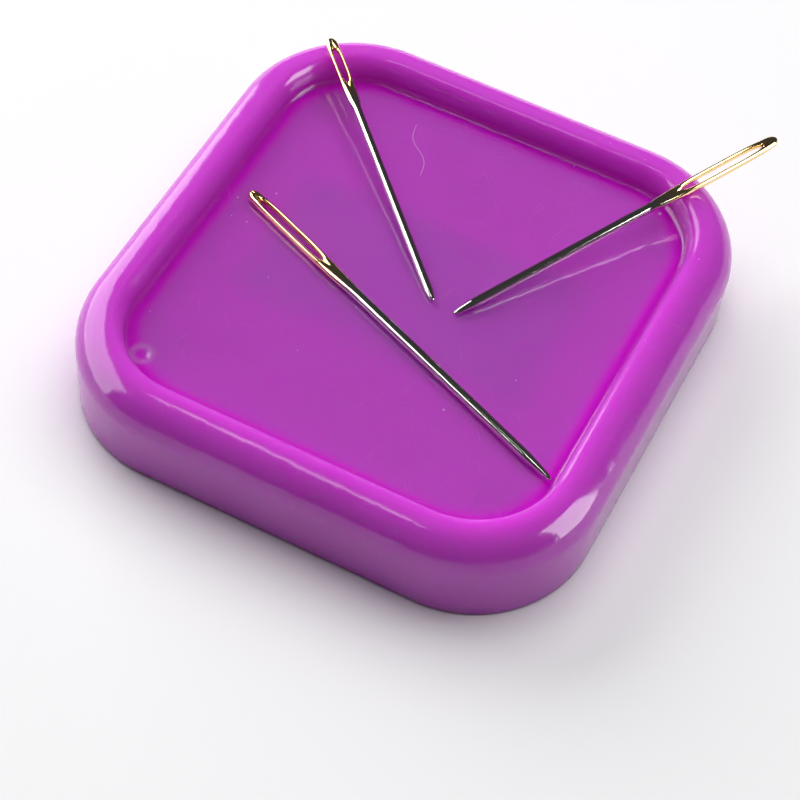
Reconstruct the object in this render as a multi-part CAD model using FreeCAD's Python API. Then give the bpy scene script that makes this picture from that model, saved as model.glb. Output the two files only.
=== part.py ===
import FreeCAD, Part
import math
import os

os.makedirs("parts", exist_ok=True)

# Magnetic pin dish: a moulded tray with a block magnet under its floor, a press-in base cover, a non-slip
# pad, and three blunt needles held in the dish. Millimetres, +Z up. The origin is on the pad's underside,
# at the middle of the tray's outline. +X runs along the shorter side, +Y along the longer side.

# Tray outline, at the widest level of its wall
half_x = 40.0
half_y = 41.2
corner_r = 19.6

# Tray heights
skirt_z = 0.3
crest_z = 15.0
floor_z = 10.9
floor_t = 1.6

# Rim section, measured inwards from the outline
wall_draft = 0.35
outer_round = 5.2
inner_run = 1.85
inner_drop = 3.2
foot_round = 0.9

# Hollow under the rim
hollow_out = 2.2
hollow_in = 5.3
hollow_top = 12.25

# Base cover, its pegs and the tray's posts
cover_inset = 2.7
cover_bottom = 1.0
cover_t = 1.5
post_r = 3.5
post_hole_r = 1.5
post_hole_depth = 5.0
peg_r = 1.45
peg_h = 4.5
post_x = 27.0
post_y = 26.5

# Non-slip pad
pad_inset = 6.5
pad_r = 11.0

# Magnet, its locating rib and the foam under it
magnet_x = 45.0
magnet_y = 23.5
magnet_t = 6.0
rib_gap = 0.2
rib_t = 1.2
rib_h = 3.5

# Needles: shaft diameter, tip taper, eye width and thickness, slot from and to and flute end
# (distances back from the eye end), tip and eye-end positions in plan, tilt in degrees
rest_gap = 0.06
tip_r = 0.32
nose_r = 0.42
needles = {
    "needle_front": {
        "shaft": 1.6, "taper": 5.0, "eye_w": 2.2, "eye_t": 1.3, "slot_w": 1.05,
        "slot": (2.4, 17.0), "flute": 23.5, "tip": (32.05, -21.05), "end": (-28.9, 3.8),
        "tilt": 0.0,
    },
    "needle_left": {
        "shaft": 1.3, "taper": 1.8, "eye_w": 2.0, "eye_t": 1.1, "slot_w": 0.95,
        "slot": (2.2, 9.0), "flute": 12.6, "tip": (4.0, -1.0), "end": (-31.8, 34.0),
        "tilt": 5.01,
    },
    "needle_right": {
        "shaft": 1.5, "taper": 3.2, "eye_w": 2.3, "eye_t": 1.2, "slot_w": 1.1,
        "slot": (2.8, 17.5), "flute": 22.5, "tip": (7.65, -1.55), "end": (36.85, 47.8),
        "tilt": 6.03,
    },
}


def vec(x, y, z=0.0):
    return FreeCAD.Vector(x, y, z)


def rounded_rectangle(hx, hy, r, z):
    """Face of a rectangle with round corners, centred on the Z axis at height z."""
    k = r * math.sqrt(0.5)
    edges = []
    for sx, sy in ((1, 1), (-1, 1), (-1, -1), (1, -1)):
        cx = sx * (hx - r)
        cy = sy * (hy - r)
        ends = [vec(cx + sx * r, cy, z), vec(cx, cy + sy * r, z)]
        if sx != sy:
            ends.reverse()
        arc = Part.Arc(ends[0], vec(cx + sx * k, cy + sy * k, z), ends[1])
        if edges:
            edges.append(Part.makeLine(edges[-1].Vertexes[-1].Point, ends[0]))
        edges.append(arc.toShape())
    edges.append(Part.makeLine(edges[-1].Vertexes[-1].Point, edges[0].Vertexes[0].Point))
    return Part.Face(Part.Wire(edges))


def slab(inset, z_low, z_high, r=None):
    """Plate that follows the tray's outline at an inset, between two heights."""
    radius = corner_r - inset if r is None else r
    face = rounded_rectangle(half_x - inset, half_y - inset, radius, z_low)
    return face.extrude(vec(0, 0, z_high - z_low))


def rim_section():
    """Closed section of the rim in the XZ plane, with X as the inset from the outline."""
    d_wall = outer_round + inner_run
    d_foot = d_wall + foot_round
    wall_z = crest_z - inner_drop
    under_z = floor_z - floor_t
    h_mid = (hollow_out + hollow_in) / 2
    h_z = hollow_top - (hollow_in - hollow_out) / 2
    turn = math.sqrt(0.5)

    def p(d, z):
        return vec(d, 0, z)

    outer_arc = Part.Arc(
        p(0, crest_z - outer_round),
        p(outer_round * (1 - turn), crest_z - outer_round * (1 - turn)),
        p(outer_round, crest_z),
    )
    ellipse = Part.Ellipse(p(outer_round, crest_z), p(d_wall, wall_z), p(outer_round, wall_z))
    inner_arc = Part.ArcOfEllipse(ellipse, 0, math.pi / 2)
    foot_arc = Part.Arc(
        p(d_wall, wall_z),
        p(d_wall + foot_round * (1 - turn), floor_z + foot_round * (1 - turn)),
        p(d_foot, floor_z),
    )
    hollow_arc = Part.Arc(p(hollow_in, h_z), p(h_mid, hollow_top), p(hollow_out, h_z))
    corners = [p(hollow_out + 0.2, skirt_z), p(wall_draft, skirt_z), p(0, crest_z - outer_round)]
    edges = [
        Part.makeLine(corners[0], corners[1]),
        Part.makeLine(corners[1], corners[2]),
        outer_arc.toShape(),
        inner_arc.toShape(),
        foot_arc.toShape(),
        Part.makeLine(p(d_foot, floor_z), p(d_foot, under_z)),
        Part.makeLine(p(d_foot, under_z), p(hollow_in, under_z)),
        Part.makeLine(p(hollow_in, under_z), p(hollow_in, h_z)),
        hollow_arc.toShape(),
        Part.makeLine(p(hollow_out, h_z), corners[0]),
    ]
    return Part.Face(Part.Wire(Part.sortEdges(edges)[0]))


def rim():
    """The rim section run along the four sides and turned round the four corners."""
    section = rim_section()
    straight_x = half_x - corner_r
    straight_y = half_y - corner_r
    pieces = []
    for turn, run, across in ((0, straight_y, half_x), (90, straight_x, half_y),
                              (180, straight_y, half_x), (270, straight_x, half_y)):
        side = section.copy()
        side.rotate(vec(0, 0), vec(0, 0, 1), 180)
        side.translate(vec(across, -run))
        side_solid = side.extrude(vec(0, 2 * run))
        corner = section.copy()
        corner.rotate(vec(0, 0), vec(0, 0, 1), 180)
        corner.translate(vec(across, run))
        axis = vec(across - corner_r, run)
        corner_solid = corner.revolve(axis, vec(0, 0, 1), 90)
        for piece in (side_solid, corner_solid):
            piece.rotate(vec(0, 0), vec(0, 0, 1), turn)
            pieces.append(piece)
    return pieces[0].fuse(pieces[1:])


def tray():
    foot = outer_round + inner_run + foot_round
    under_z = floor_z - floor_t
    body = rim().fuse(slab(foot, under_z, floor_z))
    post_z = cover_bottom + cover_t
    rib_x = magnet_x / 2 + rib_gap
    rib_y = magnet_y / 2 + rib_gap
    low = under_z - rib_h
    out_x = rib_x + rib_t
    out_y = rib_y + rib_t
    frame = Part.makeBox(2 * out_x, 2 * out_y, rib_h, vec(-out_x, -out_y, low))
    pocket = Part.makeBox(2 * rib_x, 2 * rib_y, rib_h, vec(-rib_x, -rib_y, low))
    body = body.fuse(frame.cut(pocket))
    for x, y in post_centres():
        post = Part.makeCylinder(post_r, under_z - post_z, vec(x, y, post_z))
        hole = Part.makeCylinder(post_hole_r, post_hole_depth, vec(x, y, post_z))
        body = body.fuse(post).cut(hole)
    return body.removeSplitter()


def post_centres():
    return [(sx * post_x, sy * post_y) for sx in (1, -1) for sy in (1, -1)]


def base_cover():
    top = cover_bottom + cover_t
    body = slab(cover_inset, cover_bottom, top)
    for x, y in post_centres():
        body = body.fuse(Part.makeCylinder(peg_r, peg_h, vec(x, y, top)))
    return body.removeSplitter()


def base_pad():
    return slab(pad_inset, 0.0, cover_bottom, pad_r)


def block(z_low, z_high):
    return Part.makeBox(magnet_x, magnet_y, z_high - z_low, vec(-magnet_x / 2, -magnet_y / 2, z_low))


def magnet():
    top = floor_z - floor_t
    return block(top - magnet_t, top)


def magnet_foam():
    return block(cover_bottom + cover_t, floor_z - floor_t - magnet_t)


def lens(x_low, x_high, half_w, end_w, z_low, z_high):
    """Long pointed oval between two stations, bounded by one arc a side and short flat ends."""
    mid = (x_low + x_high) / 2
    upper = Part.Arc(vec(x_low, end_w, z_low), vec(mid, half_w, z_low), vec(x_high, end_w, z_low))
    lower = Part.Arc(vec(x_high, -end_w, z_low), vec(mid, -half_w, z_low), vec(x_low, -end_w, z_low))
    wire = Part.Wire([
        upper.toShape(),
        Part.makeLine(vec(x_high, end_w, z_low), vec(x_high, -end_w, z_low)),
        lower.toShape(),
        Part.makeLine(vec(x_low, -end_w, z_low), vec(x_low, end_w, z_low)),
    ])
    return Part.Face(wire).extrude(vec(0, 0, z_high - z_low))


def needle(n, length):
    """Blunt needle along +X: tip at 0, eye end at length, slot through Z."""
    r = n["shaft"] / 2
    half_t = n["eye_t"] / 2
    flute_x = length - n["flute"]
    slot_far = length - n["slot"][1]
    slot_near = length - n["slot"][0]
    turn = math.sqrt(0.5)
    nose = Part.Arc(vec(0, 0), vec(tip_r * (1 - turn), tip_r * turn), vec(tip_r, tip_r))
    eye_x = slot_far - 0.6
    outline = [(tip_r, tip_r), (n["taper"], r), (flute_x, r), (eye_x, half_t), (eye_x, 0), (0, 0)]
    edges = [nose.toShape()]
    for a, b in zip(outline[:-1], outline[1:]):
        edges.append(Part.makeLine(vec(*a), vec(*b)))
    shaft = Part.Face(Part.Wire(edges)).revolve(vec(0, 0), vec(1, 0), 360)
    eye = lens(flute_x, length, n["eye_w"] / 2, nose_r, -half_t, half_t)
    slot = lens(slot_far, slot_near, n["slot_w"] / 2, 0.1, -half_t - 1, half_t + 1)
    return shaft.fuse(eye).cut(slot).removeSplitter()


def tip_height(n):
    """Height of the tip's centre when the needle rests on the floor where its taper meets the shaft."""
    tilt = math.radians(n["tilt"])
    return floor_z + rest_gap + n["shaft"] / 2 * math.cos(tilt) - n["taper"] * math.sin(tilt)


def placed_needle(n):
    dx = n["end"][0] - n["tip"][0]
    dy = n["end"][1] - n["tip"][1]
    length = math.hypot(dx, dy) / math.cos(math.radians(n["tilt"]))
    body = needle(n, length)
    body.rotate(vec(0, 0), vec(0, 1, 0), -n["tilt"])
    body.rotate(vec(0, 0), vec(0, 0, 1), math.degrees(math.atan2(dy, dx)))
    body.translate(vec(n["tip"][0], n["tip"][1], tip_height(n)))
    return body


parts = {
    "tray": tray(),
    "base_cover": base_cover(),
    "base_pad": base_pad(),
    "magnet": magnet(),
    "magnet_foam": magnet_foam(),
}
for name, values in needles.items():
    parts[name] = placed_needle(values)
for name, shape in parts.items():
    shape.exportStep("parts/" + name + ".step")
    print(name, shape.isValid(), len(shape.Solids), round(shape.Volume, 1))
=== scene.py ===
import math

import bmesh
import bpy
import numpy as np
from mathutils import Matrix, Vector


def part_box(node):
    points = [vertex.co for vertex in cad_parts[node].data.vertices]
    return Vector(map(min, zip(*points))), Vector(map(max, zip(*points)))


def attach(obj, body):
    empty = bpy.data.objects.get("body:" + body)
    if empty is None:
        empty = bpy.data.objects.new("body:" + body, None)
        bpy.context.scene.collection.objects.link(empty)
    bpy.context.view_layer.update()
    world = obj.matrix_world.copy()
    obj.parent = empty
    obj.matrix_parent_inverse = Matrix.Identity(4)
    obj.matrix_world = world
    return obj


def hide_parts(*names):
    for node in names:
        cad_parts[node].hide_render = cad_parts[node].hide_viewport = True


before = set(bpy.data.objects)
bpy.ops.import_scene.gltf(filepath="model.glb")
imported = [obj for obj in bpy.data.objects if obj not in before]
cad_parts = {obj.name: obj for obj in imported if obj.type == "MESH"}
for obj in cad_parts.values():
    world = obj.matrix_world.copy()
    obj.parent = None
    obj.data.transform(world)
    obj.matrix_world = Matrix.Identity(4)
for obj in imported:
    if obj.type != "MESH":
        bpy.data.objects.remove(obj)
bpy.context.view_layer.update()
mm = 0.001
print("frame loaded:", len(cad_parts), "nodes")

trayLow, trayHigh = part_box("tray")

# Tray section, in mm. Insets are measured inwards from the outline, heights from the table.
tray = {
    "cornerRadius": 19.6,
    "skirtCorner": 18.5,      # corner radius at the bottom of the wall
    "wallDraft": 0.35,
    "outerRound": 5.2,
    "innerRun": 1.85,
    "innerDrop": 3.2,
    "footRound": 0.9,
    "floor": 10.9,
    "floorThickness": 1.6,
    "hollowOut": 2.2,
    "hollowIn": 5.3,
    "hollowTop": 12.25,
    "hollowDraft": 0.2,
    "edge": 0.25,
    "postRadius": 3.5,
    "postHole": 1.5,
    "postDepth": 5.0,
    "postEdge": 0.2,
    "postX": 27.0,
    "postY": 26.5,
    "ribGap": 0.2,
    "ribThickness": 1.2,
    "ribHeight": 3.5,
    "ribCorner": 0.4,
    "letIn": 0.3,             # how far posts and rib run up into the floor, and pegs down into the cover
    "footShadeReach": 1.15,         # reach of the painted shade along the foot of the inner wall, a deeper magenta there
}
cornerColumns, sideColumns = 40, 20
ringColumns = 4 * (cornerColumns + sideColumns)


def arc(centreD, centreZ, radiusD, radiusZ, start, end, steps):
    # Ellipse arc about a centre, from one angle to another, as (inset, height) rows
    angle = np.radians(np.linspace(start, end, steps))
    return np.stack([centreD + radiusD * np.cos(angle), centreZ + radiusZ * np.sin(angle)], axis=1)


def line(start, end, steps):
    # Straight run between two points, without its last point
    return np.linspace(start, end, steps, endpoint=False)


def outlineUnits(cornerSteps, sideSteps):
    # Rounded rectangle, anticlockwise: the direction angle turns through each corner while its centre
    # stays in a corner, and the centre then slides along the side while the angle stays the same
    angles, centresX, centresY = [], [], []
    corners = np.array([[1, 1], [-1, 1], [-1, -1], [1, -1]], float)
    for k in range(4):
        turn = np.linspace(0, 1, cornerSteps, endpoint=False)
        angles.append(np.pi / 2 * (k + turn))
        centresX.append(np.full(cornerSteps, corners[k, 0]))
        centresY.append(np.full(cornerSteps, corners[k, 1]))
        slide = np.linspace(0, 1, sideSteps, endpoint=False)
        after = corners[(k + 1) % 4]
        angles.append(np.full(sideSteps, np.pi / 2 * (k + 1)))
        centresX.append(corners[k, 0] + (after[0] - corners[k, 0]) * slide)
        centresY.append(corners[k, 1] + (after[1] - corners[k, 1]) * slide)
    return np.concatenate(angles), np.concatenate(centresX), np.concatenate(centresY)


def ringPoints(half, radius, height, shrink, centre=(0, 0), steps=(cornerColumns, sideColumns)):
    # One rounded rectangle a row: corner centre plus radius times direction, shrunk about the middle
    angle, unitX, unitY = outlineUnits(*steps)
    halfX, halfY = half[0][:, None], half[1][:, None]
    radius, shrink = radius[:, None], shrink[:, None]
    x = shrink * (unitX * (halfX - radius) + radius * np.cos(angle)) + centre[0]
    y = shrink * (unitY * (halfY - radius) + radius * np.sin(angle)) + centre[1]
    return np.stack([x, y, np.broadcast_to(height[:, None], x.shape)], axis=-1)


def loopFaces(rows, cols, wrapRows=False):
    # Quads between neighbouring rows, with the columns closed into a loop
    row = np.arange(rows if wrapRows else rows - 1)[:, None]
    col = np.arange(cols)[None, :]
    nextRow = (row + 1) % rows
    nextCol = (col + 1) % cols
    quads = [row * cols + col, nextRow * cols + col, nextRow * cols + nextCol, row * cols + nextCol]
    return np.stack(quads, axis=-1).reshape(-1, 4)


def ringShell(points, wrapRows=False):
    # Vertices and face arrays of a shell made of rings. Unless the rows wrap, the first and last
    # rings have shrunk to a point each, and become poles with triangles round them.
    rows, cols = points.shape[:2]
    if wrapRows:
        return points.reshape(-1, 3), [loopFaces(rows, cols, True)]
    inner = points[1:-1]
    count = (rows - 2) * cols
    vertices = np.concatenate([inner.reshape(-1, 3), points[:1, 0], points[-1:, 0]])
    col = np.arange(cols)
    nextCol = (col + 1) % cols
    last = (rows - 3) * cols
    first = np.stack([np.full(cols, count), col, nextCol], axis=1)
    end = np.stack([last + nextCol, last + col, np.full(cols, count + 1)], axis=1)
    return vertices, [loopFaces(rows - 2, cols), first, end]


def addMesh(name, shells):
    # Joins shells into one mesh object, in metres, with smooth shading
    vertices, faces, offset = [], [], 0
    for shellVertices, shellFaces in shells:
        vertices.append(shellVertices * mm)
        for block in shellFaces:
            faces += (block + offset).tolist()
        offset += len(shellVertices)
    mesh = bpy.data.meshes.new(name)
    mesh.from_pydata(np.concatenate(vertices).tolist(), [], faces)
    mesh.polygons.foreach_set("use_smooth", np.ones(len(faces), bool))
    piece = bpy.data.objects.new(name, mesh)
    bpy.context.scene.collection.objects.link(piece)
    return piece


def traySection():
    # From the middle of the dish's floor, over the rim, down the skirt, and up inside it
    # to the middle of the floor's underside
    t = tray
    crest = trayHigh.z / mm
    skirt = trayLow.z / mm
    foot = t["outerRound"] + t["innerRun"] + t["footRound"]
    wallTop = crest - t["innerDrop"]
    under = t["floor"] - t["floorThickness"]
    shoulder = crest - t["outerRound"]
    hollowHalf = (t["hollowIn"] - t["hollowOut"]) / 2
    hollowMid = t["hollowOut"] + hollowHalf
    hollowZ = t["hollowTop"] - hollowHalf
    hollowFoot = t["hollowOut"] + t["hollowDraft"]
    e = t["edge"]
    floorRow = 1 - np.linspace(1, 0, 26, endpoint=False) ** 2
    underRow = np.linspace(1, 0, 14)
    parts = [
        np.tile([foot, t["floor"]], (len(floorRow), 1)),
        arc(foot, wallTop, t["footRound"], t["footRound"], 270, 180, 10)[:-1],
        arc(t["outerRound"], wallTop, t["innerRun"], t["innerDrop"], 0, 90, 22)[:-1],
        arc(t["outerRound"], shoulder, t["outerRound"], t["outerRound"], 90, 180, 30)[:-1],
        line((0, shoulder), (t["wallDraft"], skirt + e), 14),
        arc(t["wallDraft"] + e, skirt + e, e, e, 180, 270, 5),
        arc(hollowFoot - e, skirt + e, e, e, 270, 360, 5)[:-1],
        line((hollowFoot, skirt + e), (t["hollowOut"], hollowZ), 8),
        arc(hollowMid, hollowZ, hollowHalf, hollowHalf, 180, 0, 12)[:-1],
        line((t["hollowIn"], hollowZ), (t["hollowIn"], under), 3),
        np.tile([t["hollowIn"], under], (len(underRow), 1)),
    ]
    section = np.concatenate(parts)
    shrink = np.ones(len(section))
    shrink[: len(floorRow)] = floorRow
    shrink[-len(underRow):] = underRow
    return section, shrink


def paintedFootShade():
    # Mask of the painted shade at the foot of the inner wall: how near each ring on the dish's side is to
    # that foot, a bell curve of its distance
    section, shrink = traySection()
    foot = tray["outerRound"] + tray["innerRun"] + tray["footRound"]
    along = np.maximum(foot - section[:, 0], 0) + (1 - shrink) * (trayHigh.x / mm - foot)
    away = np.hypot(along, section[:, 1] - tray["floor"])
    notUnder = section[:, 1] >= tray["floor"] - 0.01
    depth = np.exp(-(away / tray["footShadeReach"]) ** 2) * notUnder
    return np.concatenate([np.repeat(depth[1:-1], ringColumns), depth[:1], depth[-1:]])


def trayShell():
    # The section carried round the outline. The outline's half sides and corner radius shrink by each
    # point's inset, and the corners are a little tighter towards the bottom of the wall.
    section, shrink = traySection()
    inset, height = section[:, 0], section[:, 1]
    shoulder = trayHigh.z / mm - tray["outerRound"]
    low = np.clip((shoulder - height) / shoulder, 0, 1)
    radius = tray["cornerRadius"] - inset
    skirtRadius = radius - low * (tray["cornerRadius"] - tray["skirtCorner"])
    radius = np.where(inset > tray["hollowOut"] + tray["edge"], radius, skirtRadius)
    return ringShell(ringPoints((trayHigh.x / mm - inset, trayHigh.y / mm - inset), radius, height, shrink))


def roundPlate(halfX, halfY, radius, low, high, edge):
    # Closed plate with softened edges, from the middle of its top to the middle of its underside
    grow = np.linspace(0, 1, 5, endpoint=False)
    top = arc(edge, high - edge, edge, edge, 90, 180, 6)
    bottom = arc(edge, low + edge, edge, edge, 180, 270, 6)
    section = np.concatenate([np.tile(top[0], (len(grow), 1)), top, bottom,
                              np.tile(bottom[-1], (len(grow), 1))])
    shrink = np.concatenate([grow, np.ones(len(top) + len(bottom)), grow[::-1]])
    inset = section[:, 0]
    return ringShell(ringPoints((halfX - inset, halfY - inset), radius - inset, section[:, 1], shrink,
                                steps=(24, 8)))


def turnedShell(section, shrink, x, y):
    # Upright turned piece: (radius, height) rows carried round a circle of 36 columns
    radius, height = np.array(section, float).T
    return ringShell(ringPoints((radius, radius), radius, height, np.array(shrink, float), (x, y), (8, 1)))


def post(x, y):
    # Post with a blind hole up from its foot, let into the floor's underside
    t = tray
    outer, hole, e = t["postRadius"], t["postHole"], t["postEdge"]
    top = t["floor"] - t["floorThickness"] + t["letIn"]
    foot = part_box("base_cover")[0].z / mm + coverPegs["coverThickness"]
    section = [(outer, top), (outer, top), (outer, foot + e), (outer - e, foot), (hole + e, foot),
               (hole, foot + e), (hole, foot + t["postDepth"]), (hole, foot + t["postDepth"])]
    return turnedShell(section, (0, 1, 1, 1, 1, 1, 1, 0), x, y)


def magnetRib():
    # Upright wall round the magnet: a rectangular section carried round it as a closed loop
    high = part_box("magnet")[1]
    t = tray
    under = t["floor"] - t["floorThickness"]
    out = np.array([0, 0, t["ribThickness"], t["ribThickness"]])
    height = under + np.array([t["letIn"], -t["ribHeight"], -t["ribHeight"], t["letIn"]])
    half = (high.x / mm + t["ribGap"] + out, high.y / mm + t["ribGap"] + out)
    return ringShell(ringPoints(half, t["ribCorner"] + out, height, np.ones(4), steps=(4, 6)), True)


def fourCorners(make):
    return [make(sx * tray["postX"], sy * tray["postY"]) for sx in (1, -1) for sy in (1, -1)]


def buildTray():
    piece = addMesh("tray_moulding", [trayShell(), magnetRib()] + fourCorners(post))
    # The mask of the painted shade at the foot of the inner wall, stored on the shell's points
    depth = np.zeros(len(piece.data.vertices))
    shellFootShade = paintedFootShade()
    depth[: len(shellFootShade)] = shellFootShade
    piece.data.attributes.new("paintedFootShade", "FLOAT", "POINT").data.foreach_set("value", depth)
    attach(piece, "dish")
    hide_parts("tray")
    print("tray:", len(piece.data.polygons), "faces")
    return piece


# Needles, in mm. Slot and flute are distances back from the eye end; the ends are where the design has them.
needles = {
    "needle_front": {
        "tip": (32.05, -21.05), "end": (-28.9, 3.8), "tilt": 0.0, "shaft": 1.6, "taper": 5.0,
        "eyeWidth": 2.2, "eyeThickness": 1.3, "slotWidth": 1.05, "slot": (2.4, 17.0), "flute": 23.5,
    },
    "needle_left": {
        "tip": (4.0, -1.0), "end": (-31.8, 34.0), "tilt": 5.01, "shaft": 1.3, "taper": 1.8,
        "eyeWidth": 2.0, "eyeThickness": 1.1, "slotWidth": 0.95, "slot": (2.2, 9.0), "flute": 12.6,
    },
    "needle_right": {
        "tip": (7.65, -1.55), "end": (36.85, 47.8), "tilt": 6.03, "shaft": 1.5, "taper": 3.2,
        "eyeWidth": 2.3, "eyeThickness": 1.2, "slotWidth": 1.1, "slot": (2.8, 17.5), "flute": 22.5,
    },
}

# Shape shared by the needles: lengths in mm, and powers of the curves
needleFit = {
    "restGap": 0.06,
    "tipRadius": 0.32,
    "coneCurve": 0.8,
    "noseLength": 1.3,
    "noseWidth": 0.88,
    "noseThinning": 0.75,     # share of the thickness lost at the very end of the nose
    "noseClosing": 0.55,
    "fullness": 3.0,
    "fluteCurve": 1.5,
    "sideColumns": 15,        # columns round each quarter
    "sharpAngle": 50,
    "mergeWithin": 0.002,
}

# Rows along each stretch of a needle, in mm: the tip's end, where the cone's rows start, how far they and
# the shaft's first row lie past the taper, and how closely the flute's rows bunch towards the slot
needleRows = {
    "tip": 9, "cone": 16, "shaft": 24, "flute": 40, "slot": 70, "nose": 26,
    "tipEnd": 0.6, "coneFrom": 0.75, "coneOver": 0.8, "shaftOver": 1.3, "bunching": 1.6,
}


def smooth(low, high, value):
    # Rises from 0 to 1 between two values with no corner at either end
    t = np.clip((value - low) / (high - low), 0, 1)
    return t * t * (3 - 2 * t)


def roundEnd(t):
    # Quarter circle, from 0 at t = 0 up to 1 at t = 1, and 1 past it
    return np.sqrt(np.clip(1 - (1 - np.clip(t, 0, 1)) ** 2, 0, 1))


def needleStations(n, length):
    # Distances from the tip: close together at the tip, the slot's two ends and the nose
    r = needleRows
    slotNear, slotFar = (length - k for k in n["slot"])
    fluteStart = length - n["flute"]
    quarter = np.pi / 2
    tip = r["tipEnd"] * (1 - np.cos(np.linspace(0, quarter, r["tip"])))
    cone = np.linspace(r["coneFrom"], n["taper"] + r["coneOver"], r["cone"])
    shaft = np.linspace(n["taper"] + r["shaftOver"], fluteStart, r["shaft"], endpoint=False)
    towardsSlot = np.linspace(1, 0, r["flute"], endpoint=False) ** r["bunching"]
    flute = slotFar - (slotFar - fluteStart) * towardsSlot
    slot = slotFar + (slotNear - slotFar) * (1 - np.cos(np.linspace(0, np.pi, r["slot"]))) / 2
    nose = length - n["slot"][0] * (1 - np.sin(np.linspace(0, quarter, r["nose"])))
    return np.unique(np.round(np.concatenate([tip, cone, shaft, flute, slot, nose[1:]]), 5))


def needleOutline(n, x, back):
    # Half width and half thickness at each station. A cone rises from the rounded tip to the shaft, the
    # eye's sides are a superellipse about the middle of the flute, and the nose rounds off the end.
    f = needleFit
    radius, tipRadius = n["shaft"] / 2, f["tipRadius"]
    rise = np.clip((x - tipRadius) / (n["taper"] - tipRadius), 0, 1) ** f["coneCurve"]
    cone = tipRadius + (radius - tipRadius) * rise
    body = np.where(x > tipRadius, cone, tipRadius * roundEnd(x / tipRadius))
    eyeMiddle = n["flute"] / 2
    across = np.clip(1 - np.abs((back - eyeMiddle) / eyeMiddle) ** f["fullness"], 0, 1)
    eye = f["noseWidth"] + (n["eyeWidth"] / 2 - f["noseWidth"]) * across
    wide = np.where(back < eyeMiddle, eye, np.maximum(eye, radius))
    nose = roundEnd(back / f["noseLength"])
    outer = np.where(back < n["flute"], wide, body) * nose
    thick = radius + (n["eyeThickness"] / 2 - radius) * smooth(n["flute"], n["slot"][1], back)
    thick = np.where(back < n["flute"], thick, body)
    return outer, thick * (1 - f["noseThinning"] * (1 - nose)) * (back > 0)


def needleInner(n, back, outer):
    # Inner edge of each side: a superellipse over the slot. It drops to the outer edge's far side along
    # the flute, so that the shaft's section is a plain circle, and partly so at the nose.
    slotNear, slotFar = n["slot"]
    along = np.clip((back - slotNear) / (slotFar - slotNear), 0, 1)
    inner = n["slotWidth"] / 2 * np.sqrt(np.clip(1 - (2 * along - 1) ** 4, 0, 1))
    pastSlot = np.clip((back - slotFar) / (n["flute"] - slotFar), 0, 1)
    inner = np.where(back > slotFar, -outer * (1 - (1 - pastSlot) ** needleFit["fluteCurve"]), inner)
    inNose = np.clip((slotNear - back) / slotNear, 0, 1)
    return np.where(back < slotNear, -outer * needleFit["noseClosing"] * smooth(0, 1, inNose), inner)


def needleShell(n, length):
    # A quarter of the needle is a grid: along it, and round half an ellipse from the inner edge to the
    # outer edge, which starts at the middle where the inner edge is past it. Four mirrored quarters close.
    x = needleStations(n, length)
    back = length - x
    outer, thick = needleOutline(n, x, back)
    inner = needleInner(n, back, outer)
    middle = (outer + inner) / 2
    half = (outer - inner) / 2
    wide = half > 1e-9
    start = np.where(wide, np.arccos(np.clip(middle / np.where(wide, half, 1), -1, 1)), 0)
    steps = needleFit["sideColumns"]
    phi = start[:, None] + (np.pi - start[:, None]) * np.linspace(0, 1, steps)[None, :]
    y = np.clip(middle[:, None] - half[:, None] * np.cos(phi), 0, None)
    z = thick[:, None] * np.sin(phi)
    grid = np.stack([np.broadcast_to(x[:, None], y.shape), y, z], axis=-1).reshape(-1, 3)
    corner = np.arange(len(x) - 1)[:, None] * steps + np.arange(steps - 1)[None, :]
    quads = np.stack([corner, corner + 1, corner + steps + 1, corner + steps], axis=-1).reshape(-1, 4)
    vertices, faces = [], []
    for k, (sy, sz) in enumerate(((1, 1), (-1, 1), (-1, -1), (1, -1))):
        vertices.append(grid * np.array([1, sy, sz]))
        faces.append((quads if sy * sz < 0 else quads[:, ::-1]) + k * len(grid))
    return np.concatenate(vertices), faces


def buildNeedle(name):
    n = needles[name]
    tilt = math.radians(n["tilt"])
    tip = np.array(n["tip"])
    run = np.array(n["end"]) - tip
    length = math.hypot(*run) / math.cos(tilt)
    shell = needleShell(n, length)
    vertices = shell[0]
    # Where its taper meets the shaft, the needle rests on the dish's floor
    rest = tray["floor"] + needleFit["restGap"] + n["shaft"] / 2 * math.cos(tilt)
    tipZ = rest - n["taper"] * math.sin(tilt)
    place = (Matrix.Translation((tip[0] * mm, tip[1] * mm, tipZ * mm))
             @ Matrix.Rotation(math.atan2(run[1], run[0]), 4, "Z") @ Matrix.Rotation(-tilt, 4, "Y"))
    piece = addMesh(name + "_body", [shell])
    mesh = piece.data
    # U is the distance back from the eye end in flute lengths, V the turn about the axis
    uv = mesh.uv_layers.new(name="alongNeedle")
    corner = np.zeros(len(mesh.loops), np.int32)
    mesh.loops.foreach_get("vertex_index", corner)
    back = (length - vertices[:, 0]) / n["flute"]
    around = np.arctan2(vertices[:, 1], vertices[:, 2]) / (2 * np.pi) + 0.5
    uv.data.foreach_set("uv", np.stack([back[corner], around[corner]], axis=1).ravel())
    mesh.transform(place)
    work = bmesh.new()
    work.from_mesh(mesh)
    bmesh.ops.remove_doubles(work, verts=work.verts, dist=needleFit["mergeWithin"] * mm)
    work.to_mesh(mesh)
    work.free()
    mesh.set_sharp_from_angle(angle=math.radians(needleFit["sharpAngle"]))
    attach(piece, name)
    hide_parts(name)
    print(name + ":", len(mesh.polygons), "faces")
    return piece


# Pieces under the floor: corner radius and edge rounding in mm; their extents come from the design
underside = {
    "cover_plate": {"node": "base_cover", "corner": 16.9, "edge": 0.2, "slot": "cover_plastic"},
    "pad_sheet": {"node": "base_pad", "corner": 11.0, "edge": 0.15, "slot": "pad_rubber"},
    "magnet_block": {"node": "magnet", "corner": 0.6, "edge": 0.3, "slot": "magnet_ferrite"},
    "foam_block": {"node": "magnet_foam", "corner": 0.25, "edge": 0.15, "slot": "foam_strip"},
}
coverPegs = {"coverThickness": 1.5, "radius": 1.45, "lead": 0.25}


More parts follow.
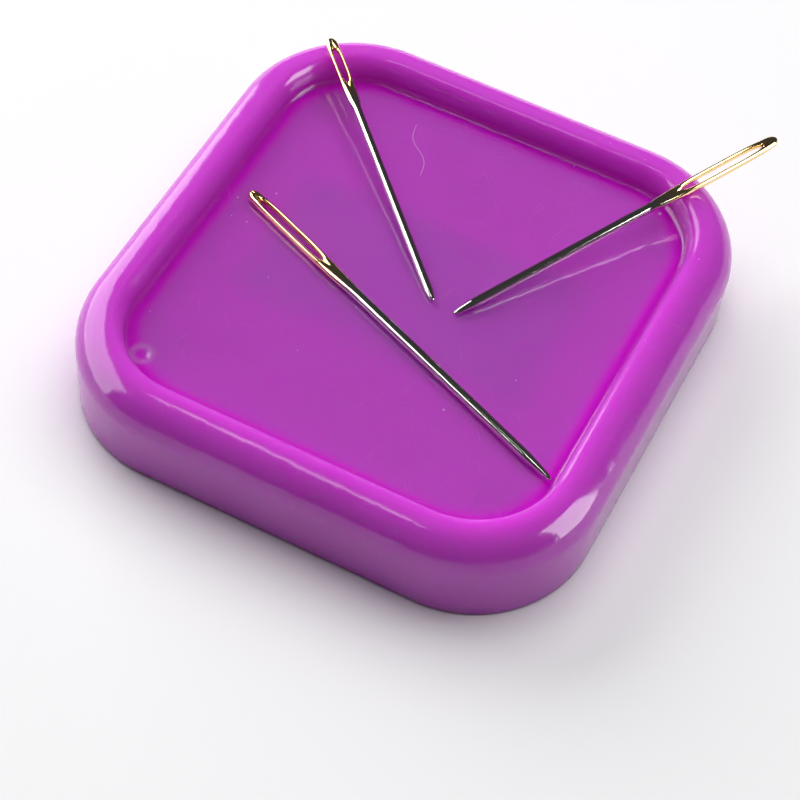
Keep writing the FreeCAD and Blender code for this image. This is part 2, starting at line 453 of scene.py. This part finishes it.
def coverPeg(x, y):
    # Peg with a softened end, let into the cover
    low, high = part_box("base_cover")
    radius, lead = coverPegs["radius"], coverPegs["lead"]
    foot = low.z / mm + coverPegs["coverThickness"] - tray["letIn"]
    top = high.z / mm
    end = radius - lead
    section = [(end, top), (end, top), (radius, top - lead), (radius, foot), (radius, foot)]
    return turnedShell(section, (0, 1, 1, 1, 0), x, y)


def buildPlate(name):
    u = underside[name]
    low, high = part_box(u["node"])
    top = high.z / mm
    pegs = []
    if u["node"] == "base_cover":
        top = low.z / mm + coverPegs["coverThickness"]
        pegs = fourCorners(coverPeg)
    shell = roundPlate(high.x / mm, high.y / mm, u["corner"], low.z / mm, top, u["edge"])
    piece = addMesh(name, [shell] + pegs)
    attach(piece, "dish")
    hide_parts(u["node"])
    print(name + ":", len(piece.data.polygons), "faces")
    return piece


trayPiece = buildTray()
basePieces = [buildPlate(name) for name in underside]
needlePieces = [buildNeedle(name) for name in needles]

camera = {
    "azimuth": 23.245,
    "elevation": 53.906,
    "roll": 4.930,
    "distance": 0.32033,
    "target": (0.006412, -0.015533, 0.0063),
    "lens": 101.548,
    "sensor": 36,
    "clipStart": 0.01,
}


def addCamera():
    # Backwards, level and upright directions from two angles, then turned by the roll
    az, el, roll = (math.radians(camera[k]) for k in ("azimuth", "elevation", "roll"))
    back = Vector((math.sin(az) * math.cos(el), -math.cos(az) * math.cos(el), math.sin(el)))
    level = Vector((math.cos(az), math.sin(az), 0))
    upright = back.cross(level)
    right = level * math.cos(roll) + upright * math.sin(roll)
    up = upright * math.cos(roll) - level * math.sin(roll)
    data = bpy.data.cameras.new("camera")
    data.lens = camera["lens"]
    data.sensor_width = camera["sensor"]
    data.clip_start = camera["clipStart"]
    seat = Matrix((right, up, back)).transposed().to_4x4()
    seat.translation = Vector(camera["target"]) + back * camera["distance"]
    rig = bpy.data.objects.new("camera", data)
    rig.matrix_world = seat
    bpy.context.scene.collection.objects.link(rig)
    bpy.context.scene.camera = rig


addCamera()


def nodeGroup(name, inputs, outputs):
    # Empty shader group with named sockets, the inputs given as name: value, and None for a vector
    group = bpy.data.node_groups.new(name, "ShaderNodeTree")
    for label, value in inputs.items():
        kind = "NodeSocketVector" if value is None else "NodeSocketFloat"
        socket = group.interface.new_socket(name=label, in_out="INPUT", socket_type=kind)
        if value is not None:
            socket.default_value = value
    for label in outputs:
        group.interface.new_socket(name=label, in_out="OUTPUT", socket_type="NodeSocketFloat")
    return group, group.nodes.new("NodeGroupInput").outputs, group.nodes.new("NodeGroupOutput").inputs


def addNode(tree, kind, values=None, **settings):
    # A node with its settings, and the values of its sockets by name or number
    made = tree.nodes.new("ShaderNode" + kind)
    for key, value in settings.items():
        setattr(made, key, value)
    for key, value in (values or {}).items():
        made.inputs[key].default_value = value
    return made


def addTexture(tree, kind, vector, values, **settings):
    # Noise or cells read at a vector
    made = addNode(tree, "Tex" + kind, values, **settings)
    tree.links.new(vector, made.inputs["Vector"])
    return made.outputs


def addMath(tree, operation, *sources):
    # Math node whose operands are sockets or plain numbers
    made = addNode(tree, "Math", operation=operation)
    for k, source in enumerate(sources):
        if isinstance(source, (int, float)):
            made.inputs[k].default_value = source
        else:
            tree.links.new(source, made.inputs[k])
    return made.outputs[0]


def addRamp(tree, source, fromMin, fromMax, toMin=0.0, toMax=1.0):
    # Smooth step of a value between two limits
    made = addNode(tree, "MapRange", interpolation_type="SMOOTHSTEP")
    tree.links.new(source, made.inputs["Value"])
    for key, value in (("From Min", fromMin), ("From Max", fromMax), ("To Min", toMin), ("To Max", toMax)):
        made.inputs[key].default_value = value
    return made.outputs["Result"]


def addMix(tree, factor, first, second):
    # Colour mix; the colours are sockets or plain colours
    made = addNode(tree, "Mix", data_type="RGBA")
    tree.links.new(factor, made.inputs["Factor"])
    for label, source in (("A", first), ("B", second)):
        socket = next(k for k in made.inputs if k.name == label and k.type == "RGBA")
        if isinstance(source, tuple):
            socket.default_value = source
        else:
            tree.links.new(source, socket)
    return next(k for k in made.outputs if k.type == "RGBA")


def addBump(tree, height, strength, distance, after=None):
    made = addNode(tree, "Bump", {"Strength": strength, "Distance": distance})
    tree.links.new(height, made.inputs["Height"])
    if after is not None:
        tree.links.new(after, made.inputs["Normal"])
    return made.outputs["Normal"]


def objectPlace(tree):
    return addNode(tree, "TexCoord").outputs["Object"]


def splitVector(tree, vector):
    split = addNode(tree, "SeparateXYZ")
    tree.links.new(vector, split.inputs[0])
    return split.outputs


def newMaterial(name):
    material = bpy.data.materials.new(name)
    material.use_nodes = True
    tree = material.node_tree
    return material, tree, tree.nodes["Principled BSDF"]


def wire(tree, shader, colour, roughness, normal):
    tree.links.new(colour, shader.inputs["Base Color"])
    tree.links.new(roughness, shader.inputs["Roughness"])
    tree.links.new(normal, shader.inputs["Normal"])


def rgb(red, green, blue):
    # Linear colour from 0-255 display values
    values = [((c / 255 + 0.055) / 1.055) ** 2.4 if c > 10 else c / 255 / 12.92 for c in (red, green, blue)]
    return (*values, 1.0)


# Shared effects: turns in radians and shifts in noise units, and the levels that each effect keeps
streaks = {"turns": ((0.35, 0.1), (1.25, 3.3), (2.45, 7.7)), "line": (0.70, 0.76),
           "patchScale": 60.0, "patch": (0.45, 0.62)}


def streakGroup():
    # Thin lines in three directions: noise drawn out along each, kept where it is highest, and then
    # only in the patches where a broad noise is high
    group, given, result = nodeGroup(
        "fineStreaks", {"Vector": None, "Width": 0.0002, "Length": 0.01, "Amount": 0.5}, ["Mask"])
    across = addMath(group, "DIVIDE", 1.0, given["Width"])
    along = addMath(group, "DIVIDE", 1.0, given["Length"])
    scale = addNode(group, "CombineXYZ")
    for label, source in (("X", across), ("Y", along), ("Z", along)):
        group.links.new(source, scale.inputs[label])
    lines = None
    for turn, shift in streaks["turns"]:
        turned = addNode(group, "VectorRotate", {"Angle": turn}, rotation_type="Z_AXIS")
        group.links.new(given["Vector"], turned.inputs["Vector"])
        drawn = addNode(group, "VectorMath", {2: (shift, shift, shift)}, operation="MULTIPLY_ADD")
        group.links.new(turned.outputs[0], drawn.inputs[0])
        group.links.new(scale.outputs[0], drawn.inputs[1])
        noise = addTexture(group, "Noise", drawn.outputs[0], {"Scale": 1.0, "Detail": 1.0})
        one = addRamp(group, noise["Fac"], *streaks["line"])
        lines = one if lines is None else addMath(group, "MAXIMUM", lines, one)
    patches = addTexture(group, "Noise", given["Vector"], {"Scale": streaks["patchScale"], "Detail": 2.0})
    kept = addMath(group, "MULTIPLY", lines, addRamp(group, patches["Fac"], *streaks["patch"]))
    group.links.new(addMath(group, "MULTIPLY", kept, given["Amount"]), result["Mask"])
    return group


def dustGroup():
    # One round speck at the middle of some cells, each of its own size
    group, given, result = nodeGroup(
        "dustSpecks", {"Vector": None, "Spacing": 0.003, "Size": 0.0001, "Share": 0.3}, ["Mask"])
    cells = addTexture(group, "Voronoi", given["Vector"], {"Randomness": 1.0}, feature="F1")
    scale = addMath(group, "DIVIDE", 1.0, given["Spacing"])
    group.links.new(scale, cells["Distance"].node.inputs["Scale"])
    colours = addNode(group, "SeparateColor")
    group.links.new(cells["Color"], colours.inputs[0])
    size = addMath(group, "DIVIDE", given["Size"], given["Spacing"])
    reach = addMath(group, "MULTIPLY", size, colours.outputs["Green"])
    inside = addMath(group, "LESS_THAN", cells["Distance"], reach)
    chosen = addMath(group, "LESS_THAN", colours.outputs["Red"], given["Share"])
    group.links.new(addMath(group, "MULTIPLY", inside, chosen), result["Mask"])
    return group


def rippleGroup():
    # Slight waviness of a moulded surface: broad waves with a finer one over them
    group, given, result = nodeGroup(
        "mouldedRipple", {"Vector": None, "Broad": 0.004, "Fine": 0.0006, "Balance": 0.2}, ["Height"])
    waves = []
    for label in ("Broad", "Fine"):
        noise = addTexture(group, "Noise", given["Vector"], {"Detail": 1.0})
        scale = addMath(group, "DIVIDE", 1.0, given[label])
        group.links.new(scale, noise["Fac"].node.inputs["Scale"])
        waves.append(noise["Fac"])
    height = addMath(group, "MULTIPLY_ADD", waves[1], given["Balance"], waves[0])
    group.links.new(height, result["Height"])
    return group


effects = {"streaks": streakGroup(), "dust": dustGroup(), "ripple": rippleGroup()}


def addEffect(tree, name, vector, values):
    made = addNode(tree, "Group", node_tree=effects[name])
    tree.links.new(vector, made.inputs["Vector"])
    for key, value in values.items():
        made.inputs[key].default_value = value
    return made.outputs[0]


# Tray plastic: linear colours, and sizes in metres. A bump is its strength and its depth.
plastic = {
    "colour": (0.58, 0.066, 0.59, 1.0),
    "deeper": (0.5394, 0.06138, 0.5487, 1.0),
    # Painted shade of the magnet seen through the floor, and the width of its soft edge
    "magnetShadeThrough": (0.455, 0.074, 0.52, 1.0),
    "magnetBlur": 0.0030,
    "footShadeColour": (0.93, 0.005, 0.72, 1.0),
    "mottle": {"Scale": 70.0, "Detail": 3.0},
    "magnetMottle": (0.15, 0.65, 0.75, 1.0),      # mottle from and to, and the share there
    "deeperMottle": (0.55, 0.75, 0.0, 0.6),
    "roughness": 0.08,
    "roughMottle": 0.04,
    "roughWear": 0.5,
    "scatter": 1.0,
    "scatterColours": (1.0, 0.10, 0.85),
    "scatterDepth": 0.011,
    # Colour of lint and scratches, and of the painted highlight on the sink mark's ring
    "speckAndHighlight": (0.75, 0.50, 0.78, 1.0),
    "specks": {"Spacing": 0.0034, "Size": 0.00019, "Share": 0.45},
    "crumbs": {"Spacing": 0.011, "Size": 0.00034, "Share": 0.40},
    "lintAndHighlightShare": 0.6,
    "lintFacing": (0.55, 0.9),                    # how much a surface faces up to hold lint
    "streakFacing": (0.2, 0.9, 0.15, 0.45),
    "onFloor": 0.0004,                            # height over the floor that still counts as floor
    "streaks": {"Width": 0.00022, "Length": 0.007, "Amount": 0.18},
    "streakBump": (0.25, 0.00004),
    "ripple": {"Broad": 0.0032, "Fine": 0.0007, "Balance": 0.25},
    "rippleBump": (0.5, 0.00012),
    # Sink mark's ring: its bump, and a share of painted highlight in the speck colour
    "sinkMark": {"x": -0.0276, "y": -0.0293, "radius": 0.0014, "halfWidth": 0.0009, "share": 0.3},
    "sinkBump": (0.5, 0.0003),
    "fibre": {"x": -0.0113, "y": 0.0245, "turn": 2.14, "halfLength": 0.0053, "wave": 0.0006,
              "waveTurns": 680.0, "halfWidth": (0.00009, 0.00003), "endsFrom": 0.94},
}


def magnetBlock(tree, x, y):
    # Mask of an upright block about the middle, with soft sides
    sides = []
    for source, half in zip((x, y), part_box("magnet")[1]):
        fade = (half + plastic["magnetBlur"], half - plastic["magnetBlur"])
        sides.append(addRamp(tree, addMath(tree, "ABSOLUTE", source), *fade))
    return addMath(tree, "MULTIPLY", *sides)


def sinkMark(tree, x, y):
    # Shallow ring where the floor was drawn in as it cooled: how near the distance is to the radius
    m = plastic["sinkMark"]
    fromX = addMath(tree, "SUBTRACT", x, m["x"])
    fromY = addMath(tree, "SUBTRACT", y, m["y"])
    squares = addMath(tree, "MULTIPLY_ADD", fromX, fromX, addMath(tree, "MULTIPLY", fromY, fromY))
    offRing = addMath(tree, "SUBTRACT", addMath(tree, "SQRT", squares), m["radius"])
    return addRamp(tree, addMath(tree, "ABSOLUTE", offRing), m["halfWidth"], 0.0)


def fibreMask(tree, x, y):
    # Curled hair: a narrow band about a sine wave, along a turned line on the floor
    f = plastic["fibre"]
    fromX = addMath(tree, "SUBTRACT", x, f["x"])
    fromY = addMath(tree, "SUBTRACT", y, f["y"])
    c, s = math.cos(f["turn"]), math.sin(f["turn"])
    along = addMath(tree, "MULTIPLY_ADD", fromX, c, addMath(tree, "MULTIPLY", fromY, s))
    across = addMath(tree, "MULTIPLY_ADD", fromX, -s, addMath(tree, "MULTIPLY", fromY, c))
    sine = addMath(tree, "SINE", addMath(tree, "MULTIPLY", along, f["waveTurns"]))
    off = addMath(tree, "MULTIPLY_ADD", sine, -f["wave"], across)
    band = addRamp(tree, addMath(tree, "ABSOLUTE", off), *f["halfWidth"])
    span = addRamp(tree, addMath(tree, "ABSOLUTE", along), f["halfLength"], f["halfLength"] * f["endsFrom"])
    return addMath(tree, "MULTIPLY", band, span)


def trayPlastic():
    p = plastic
    material, tree, shader = newMaterial("trayPlastic")
    place = objectPlace(tree)
    x, y, z = splitVector(tree, place)
    onFloor = addMath(tree, "LESS_THAN", z, tray["floor"] * mm + p["onFloor"])
    upward = splitVector(tree, addNode(tree, "NewGeometry").outputs["Normal"])["Z"]
    onTop = addRamp(tree, upward, *p["lintFacing"])

    # Colour: mottled; painted shade of the magnet seen through the floor, darker and bluer over it; painted
    # shade along the foot of the inner wall, a deeper magenta there
    mottle = addTexture(tree, "Noise", place, p["mottle"])["Fac"]
    # Painted shade: the floor over the magnet is darkened and tinted bluer, standing in for the dark magnet
    # showing through it
    magnetShadeThrough = addMath(tree, "MULTIPLY", addMath(tree, "MULTIPLY", magnetBlock(tree, x, y), onFloor),
                         addRamp(tree, mottle, *p["magnetMottle"]))
    colour = addMix(tree, magnetShadeThrough, p["colour"], p["magnetShadeThrough"])
    colour = addMix(tree, addRamp(tree, mottle, *p["deeperMottle"]), colour, p["deeper"])
    # Painted shade: a deeper, more saturated magenta where the foot of the inner wall lies in shade
    foot = addNode(tree, "Attribute", attribute_name="paintedFootShade").outputs["Fac"]
    colour = addMix(tree, foot, colour, p["footShadeColour"])

    # Lint lies on surfaces that face up; fine scratches are on all of them, but fewer down the sides
    specks = addMath(tree, "MAXIMUM", addEffect(tree, "dust", place, p["specks"]),
                     addEffect(tree, "dust", place, p["crumbs"]))
    hair = addMath(tree, "MULTIPLY", fibreMask(tree, x, y), onFloor)
    lintAndHighlight = addMath(tree, "MULTIPLY", addMath(tree, "MAXIMUM", specks, hair), onTop)
    # Painted highlight: the sink mark's ring is lightened towards the speck colour, for light caught by its
    # dip; its bump is below
    ring = addMath(tree, "MULTIPLY", sinkMark(tree, x, y), onFloor)
    lintAndHighlight = addMath(tree, "MAXIMUM", lintAndHighlight, addMath(tree, "MULTIPLY", ring, p["sinkMark"]["share"]))
    scratches = addEffect(tree, "streaks", place, p["streaks"])
    faint = addMath(tree, "MULTIPLY", scratches, addRamp(tree, upward, *p["streakFacing"]))
    # worn holds lint, faint scratches and the painted highlight on the sink mark's ring
    worn = addMath(tree, "MAXIMUM", addMath(tree, "MULTIPLY", lintAndHighlight, p["lintAndHighlightShare"]), faint)

    rough = addMath(tree, "MULTIPLY_ADD", mottle, p["roughMottle"], p["roughness"])
    rough = addMath(tree, "MULTIPLY_ADD", worn, p["roughWear"], rough)
    normal = addBump(tree, addEffect(tree, "ripple", place, p["ripple"]), *p["rippleBump"])
    normal = addBump(tree, ring, *p["sinkBump"], after=normal)
    normal = addBump(tree, scratches, *p["streakBump"], after=normal)
    wire(tree, shader, addMix(tree, worn, colour, p["speckAndHighlight"]), rough, normal)
    shader.inputs["Subsurface Weight"].default_value = p["scatter"]
    shader.inputs["Subsurface Radius"].default_value = p["scatterColours"]
    shader.inputs["Subsurface Scale"].default_value = p["scatterDepth"]
    return material


cover = {
    "dark": (0.30, 0.022, 0.32, 1.0),
    "light": (0.36, 0.035, 0.38, 1.0),
    "scuffed": (0.50, 0.16, 0.52, 1.0),
    "mottle": {"Scale": 90.0, "Detail": 3.0},
    "grain": {"Broad": 0.0005, "Fine": 0.00015, "Balance": 0.6},
    "scuffs": {"Width": 0.0003, "Length": 0.006, "Amount": 0.35},
    "roughness": (0.15, 0.42),     # share of the pattern, and the level under it
    "bump": (0.6, 0.00008),
}


def coverPlastic():
    # Same colour as the tray, spark-eroded to a fine matt grain
    material, tree, shader = newMaterial("coverPlastic")
    place = objectPlace(tree)
    grain = addEffect(tree, "ripple", place, cover["grain"])
    mottle = addTexture(tree, "Noise", place, cover["mottle"])["Fac"]
    scuffs = addEffect(tree, "streaks", place, cover["scuffs"])
    colour = addMix(tree, scuffs, addMix(tree, mottle, cover["dark"], cover["light"]), cover["scuffed"])
    wire(tree, shader, colour, addMath(tree, "MULTIPLY_ADD", grain, *cover["roughness"]),
         addBump(tree, grain, *cover["bump"]))
    return material


pad = {
    "pitShade": (0.022, 0.022, 0.025, 1.0),
    "cell": (0.055, 0.054, 0.058, 1.0),
    "dusty": (0.4, 0.39, 0.38, 1.0),
    "cellScale": 1400.0,
    "cellEdge": (0.1, 0.6),
    "dust": {"Spacing": 0.0025, "Size": 0.0002, "Share": 0.5},
    "dustShare": 0.7,
    "roughness": (0.12, 0.78),
    "bump": (0.8, 0.00015),
}


def padRubber():
    # Closed-cell sheet: pits between small cells, darker by painted shade, and pale dust picked up from
    # tables
    material, tree, shader = newMaterial("padRubber")
    place = objectPlace(tree)
    cells = addTexture(tree, "Voronoi", place, {"Scale": pad["cellScale"]}, feature="SMOOTH_F1")
    pits = addRamp(tree, cells["Distance"], *pad["cellEdge"])
    dust = addMath(tree, "MULTIPLY", addEffect(tree, "dust", place, pad["dust"]), pad["dustShare"])
    colour = addMix(tree, dust, addMix(tree, pits, pad["pitShade"], pad["cell"]), pad["dusty"])
    wire(tree, shader, colour, addMath(tree, "MULTIPLY_ADD", pits, *pad["roughness"]),
         addBump(tree, pits, *pad["bump"]))
    return material


ferrite = {
    "dark": (0.035, 0.035, 0.04, 1.0),
    "light": (0.075, 0.075, 0.08, 1.0),
    "ground": (0.17, 0.17, 0.18, 1.0),
    "body": {"Broad": 0.0012, "Fine": 0.0002, "Balance": 0.5},
    "lines": {"Width": 0.00015, "Length": 0.03, "Amount": 0.8},
    "lineShare": 0.5,
    "pits": {"Spacing": 0.0018, "Size": 0.00018, "Share": 0.4},
    "roughness": (0.3, 0.5),
    "bump": (0.5, 0.0001),
}


def groundFerrite():
    # Dark sintered block: grinding lines on it, and small dull pits
    material, tree, shader = newMaterial("groundFerrite")
    place = objectPlace(tree)
    lines = addEffect(tree, "streaks", place, ferrite["lines"])
    pits = addEffect(tree, "dust", place, ferrite["pits"])
    body = addEffect(tree, "ripple", place, ferrite["body"])
    colour = addMix(tree, addMath(tree, "MULTIPLY", lines, ferrite["lineShare"]),
                    addMix(tree, body, ferrite["dark"], ferrite["light"]), ferrite["ground"])
    wire(tree, shader, colour, addMath(tree, "MULTIPLY_ADD", pits, *ferrite["roughness"]),
         addBump(tree, body, *ferrite["bump"]))
    return material


foam = {
    "hollowShade": (0.48, 0.47, 0.44, 1.0),
    "skin": (0.80, 0.79, 0.76, 1.0),
    "cellScale": 900.0,
    "cellEdge": (0.15, 0.6),
    "fine": {"Broad": 0.0012, "Fine": 0.0003, "Balance": 0.5},
    "fineShare": 0.4,
    "roughness": (0.1, 0.82),
    "bump": (0.8, 0.0003),
}


def foamStrip():
    # White foam: cells of two sizes, with painted shade in their hollows
    material, tree, shader = newMaterial("foamStrip")
    place = objectPlace(tree)
    cells = addTexture(tree, "Voronoi", place, {"Scale": foam["cellScale"]}, feature="F1")
    hollows = addRamp(tree, cells["Distance"], *foam["cellEdge"])
    fine = addEffect(tree, "ripple", place, foam["fine"])
    height = addMath(tree, "MULTIPLY_ADD", fine, foam["fineShare"], hollows)
    wire(tree, shader, addMix(tree, hollows, foam["hollowShade"], foam["skin"]),
         addMath(tree, "MULTIPLY_ADD", hollows, *foam["roughness"]), addBump(tree, height, *foam["bump"]))
    return material


# Needle plating: linear colours, and sizes in metres
plated = {
    "nickel": (0.60, 0.585, 0.55, 1.0),
    "gold": (0.87, 0.66, 0.33, 1.0),
    "worn": (0.34, 0.32, 0.29, 1.0),
    "goldEdge": (1.12, 0.82),      # where gold starts and is full, in flute lengths from the eye end
    "goldWaver": 0.08,
    "uneven": {"Scale": 900.0, "Detail": 3.0},
    "lines": (14.0, 60.0, 1.0),    # drawing lines along, around and through the UV map
    "spots": (0.56, 0.74),         # levels of the unevenness and of the lines where plating is worn
    "wornLines": (0.4, 0.7),
    "wornShare": 0.55,
    "roughness": (0.06, 0.05),
    "wornRoughness": 0.2,
    "bump": (0.2, 0.00002),
}


def needlePlating():
    # Bright nickel, with gold laid over the eye and flute and both rubbed thin in spots
    p = plated
    material, tree, shader = newMaterial("needlePlating")
    along = addNode(tree, "UVMap", uv_map="alongNeedle").outputs["UV"]
    uneven = addTexture(tree, "Noise", objectPlace(tree), p["uneven"])["Fac"]
    edge = addMath(tree, "MULTIPLY_ADD", uneven, p["goldWaver"], splitVector(tree, along)["X"])
    tint = addMix(tree, addRamp(tree, edge, *p["goldEdge"]), p["nickel"], p["gold"])
    # Lines left along the wire by drawing it
    stretched = addNode(tree, "VectorMath", {1: p["lines"]}, operation="MULTIPLY")
    tree.links.new(along, stretched.inputs[0])
    drawn = addTexture(tree, "Noise", stretched.outputs[0], {"Scale": 1.0, "Detail": 4.0})["Fac"]
    rubbed = addMath(tree, "MULTIPLY", addRamp(tree, uneven, *p["spots"]),
                     addRamp(tree, drawn, *p["wornLines"]))
    colour = addMix(tree, addMath(tree, "MULTIPLY", rubbed, p["wornShare"]), tint, p["worn"])
    rough = addMath(tree, "MULTIPLY_ADD", drawn, *p["roughness"])
    rough = addMath(tree, "MULTIPLY_ADD", rubbed, p["wornRoughness"], rough)
    wire(tree, shader, colour, rough, addBump(tree, drawn, *p["bump"]))
    shader.inputs["Metallic"].default_value = 1
    return material


finishes = {
    "tray_moulding": trayPlastic(),
    "cover_plate": coverPlastic(),
    "pad_sheet": padRubber(),
    "magnet_block": groundFerrite(),
    "foam_block": foamStrip(),
}
plating = needlePlating()
for piece in [trayPiece] + basePieces + needlePieces:
    piece.data.materials.append(finishes.get(piece.name, plating))
print("finishes made:", len(finishes) + 1)

tableTop = {"size": 3.0, "colour": (244, 244, 245), "roughness": 0.7}


def buildTable():
    half = tableTop["size"] / 2
    mesh = bpy.data.meshes.new("table")
    corners = [(-half, -half, 0), (half, -half, 0), (half, half, 0), (-half, half, 0)]
    mesh.from_pydata(corners, [], [(0, 1, 2, 3)])
    floor = bpy.data.objects.new("table", mesh)
    bpy.context.scene.collection.objects.link(floor)
    material, tree, shader = newMaterial("tableTop")
    shader.inputs["Base Color"].default_value = rgb(*tableTop["colour"])
    shader.inputs["Roughness"].default_value = tableTop["roughness"]
    mesh.materials.append(material)


# Studio lights: the direction of the middle of each, its distance in metres, its size across and up, and
# its radiance. A card stands upright and only shows in reflections; a fill faces the dish and only lights it.
studioLights = {
    "leftCard": {
        "azimuth": 180.5, "elevation": 27, "distance": 0.9,
        "size": (1.25, 1.30), "radiance": 4.2, "card": True,
    },
    "rightCard": {
        "azimuth": 13, "elevation": 28, "distance": 0.9,
        "size": (0.50, 0.86), "radiance": 7.5, "card": True,
    },
    "upperCard": {
        "azimuth": -152, "elevation": 73, "distance": 0.9,
        "size": (0.34, 0.20), "radiance": 5.0, "card": True,
    },
    "leftFill": {
        "azimuth": 151, "elevation": 24, "distance": 1.5,
        "size": (1.50, 1.30), "radiance": 3.8, "card": False,
    },
    "topFill": {
        "azimuth": 68, "elevation": 70, "distance": 1.5,
        "size": (1.70, 1.60), "radiance": 2.5, "card": False,
    },
}
room = {"colour": (0.05, 0.05, 0.052, 1)}


def addStudioLight(name, s):
    az, el = math.radians(s["azimuth"]), math.radians(s["elevation"])
    towards = Vector((math.cos(az) * math.cos(el), math.sin(az) * math.cos(el), math.sin(el)))
    across = Vector((-math.sin(az), math.cos(az), 0))
    facing = Vector((math.cos(az), math.sin(az), 0)) if s["card"] else towards
    data = bpy.data.lights.new(name, "AREA")
    data.shape = "RECTANGLE"
    data.size, data.size_y = s["size"]
    # An area light's radiance is its power over its area and pi
    data.energy = s["radiance"] * math.pi * s["size"][0] * s["size"][1]
    seat = Matrix((across, facing.cross(across), facing)).transposed().to_4x4()
    seat.translation = towards * s["distance"]
    lamp = bpy.data.objects.new(name, data)
    lamp.matrix_world = seat
    lamp.visible_diffuse = not s["card"]
    lamp.visible_glossy = s["card"]
    bpy.context.scene.collection.objects.link(lamp)


def addRoom():
    # Dim grey all round, so that polished steel has something dark to reflect
    world = bpy.data.worlds.new("room")
    world.use_nodes = True
    world.node_tree.nodes["Background"].inputs["Color"].default_value = room["colour"]
    bpy.context.scene.world = world


buildTable()
for name, values in studioLights.items():
    addStudioLight(name, values)
addRoom()
bpy.context.scene.view_settings.view_transform = "Standard"
print("room and lights placed")
